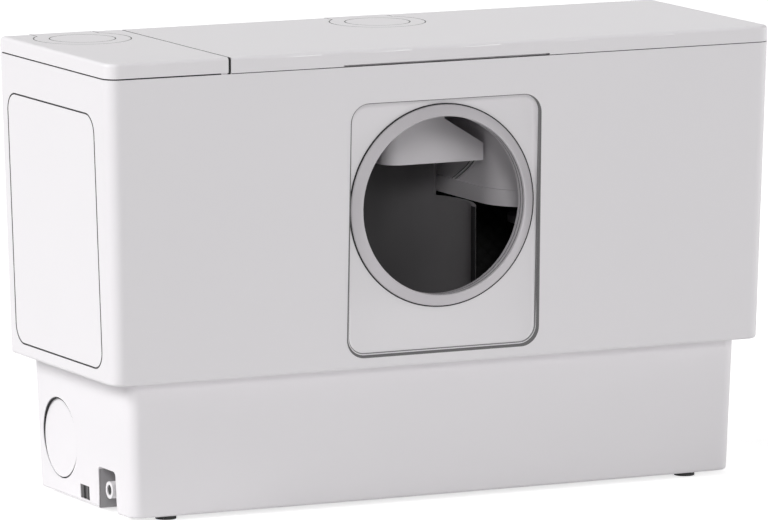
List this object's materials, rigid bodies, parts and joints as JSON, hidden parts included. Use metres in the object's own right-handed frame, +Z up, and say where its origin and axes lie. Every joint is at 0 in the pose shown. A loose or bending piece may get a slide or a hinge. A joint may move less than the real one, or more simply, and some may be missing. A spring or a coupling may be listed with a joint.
{
  "type": "sewage lifting station",
  "caption": "Slim white in-wall lifting unit for a wall-hung WC: stepped housing with a round front inlet, lids, macerator pump, riser and non-return valve.",
  "frame": {"origin": "on the floor, under the middle of the housing's overall width and depth", "axes": "+X to the right along the front, +Y to the wall behind, +Z up; the round inlet faces -Y"},
  "size_m": [0.42, 0.1498, 0.265],
  "materials": {
    "white_plastic": "satin moulded",
    "inner_plastic": "matt moulded, unlit",
    "dark_plastic": "matt moulded",
    "grey_rubber": "smooth elastomer",
    "black_rubber": "matt elastomer",
    "steel": "zinc plated",
    "stainless": "ground",
    "lamination": "stacked sheet, varnished",
    "copper_wire": "enamelled winding",
    "cast_alloy": "die cast",
    "board_green": "printed board",
    "carbon": "felt and granules"
  },
  "bodies": {
    "housing": {"sump_tub": "white_plastic", "upper_casing": "white_plastic", "drain_nipple": "white_plastic", "chamber_deck": "inner_plastic", "vent_hood": "inner_plastic", "motor_box": "inner_plastic", "motor_box_cover": "inner_plastic", "collecting_basket": "dark_plastic", "pump_volute": "dark_plastic", "suction_plate": "stainless", "pump_column": "dark_plastic", "motor_stator": "lamination", "stator_windings": "copper_wire", "motor_end_shield": "cast_alloy", "upper_bearing": "steel", "lower_bearing": "steel", "shaft_seal": "black_rubber", "pressure_pipe": "inner_plastic", "valve_body": "dark_plastic", "flap_pin": "stainless", "outlet_connector": "black_rubber", "hose_clips": "stainless", "level_bell": "inner_plastic", "level_switch": "dark_plastic", "control_board": "board_green", "motor_capacitor": "dark_plastic", "cable_gland": "dark_plastic", "carbon_filter": "carbon", "rubber_feet": "black_rubber", "inlet_seal": "grey_rubber", "inlet_plug_seals": "black_rubber", "deck_seal": "black_rubber", "sump_seal": "black_rubber", "deck_screws": "steel", "hood_screws": "steel", "cover_screws": "steel", "casing_screws": "steel"},
    "main_lid": {"main_lid": "white_plastic"},
    "main_lid_insert": {"main_lid_insert": "white_plastic", "main_lid_disc": "white_plastic"},
    "service_lid": {"service_lid": "white_plastic"},
    "service_lid_insert": {"service_lid_insert": "white_plastic", "service_lid_disc": "white_plastic"},
    "side_panel": {"side_panel": "white_plastic"},
    "left_inlet_plug": {"left_inlet_plug": "white_plastic"},
    "right_inlet_plug": {"right_inlet_plug": "white_plastic"},
    "pump_rotor": {"motor_shaft": "stainless", "motor_rotor": "lamination", "impeller": "dark_plastic", "cutter": "stainless"},
    "valve_flap": {"valve_flap": "black_rubber"},
    "switch_plunger": {"switch_plunger": "white_plastic"}
  },
  "joints": [
    {"name": "main_lid_lift", "type": "slide", "parent": "housing", "child": "main_lid", "axis": [0, 0, 1], "range_m": [0, 0.06]},
    {"name": "main_insert_lift", "type": "slide", "parent": "main_lid", "child": "main_lid_insert", "axis": [0, 0, 1], "range_m": [0, 0.03]},
    {"name": "service_lid_lift", "type": "slide", "parent": "housing", "child": "service_lid", "axis": [0, 0, 1], "range_m": [0, 0.06]},
    {"name": "service_insert_lift", "type": "slide", "parent": "service_lid", "child": "service_lid_insert", "axis": [0, 0, 1], "range_m": [0, 0.03]},
    {"name": "side_panel_pull", "type": "slide", "parent": "housing", "child": "side_panel", "axis": [-1, 0, 0], "range_m": [0, 0.04]},
    {"name": "left_plug_pull", "type": "slide", "parent": "housing", "child": "left_inlet_plug", "axis": [-1, 0, 0], "range_m": [0, 0.02]},
    {"name": "right_plug_pull", "type": "slide", "parent": "housing", "child": "right_inlet_plug", "axis": [1, 0, 0], "range_m": [0, 0.02]},
    {"name": "pump_spin", "type": "hinge", "parent": "housing", "child": "pump_rotor", "pos_m": [0.10997, 0.0129, 0.1], "axis": [0, 0, 1], "continuous": true},
    {"name": "flap_swing", "type": "hinge", "parent": "housing", "child": "valve_flap", "pos_m": [-0.1805, 0.0437, 0.1164], "axis": [0, -1, 0], "range_deg": [0, 60]},
    {"name": "plunger_press", "type": "slide", "parent": "housing", "child": "switch_plunger", "axis": [0, 0, 1], "range_m": [0, 0.0015]}
  ]
}
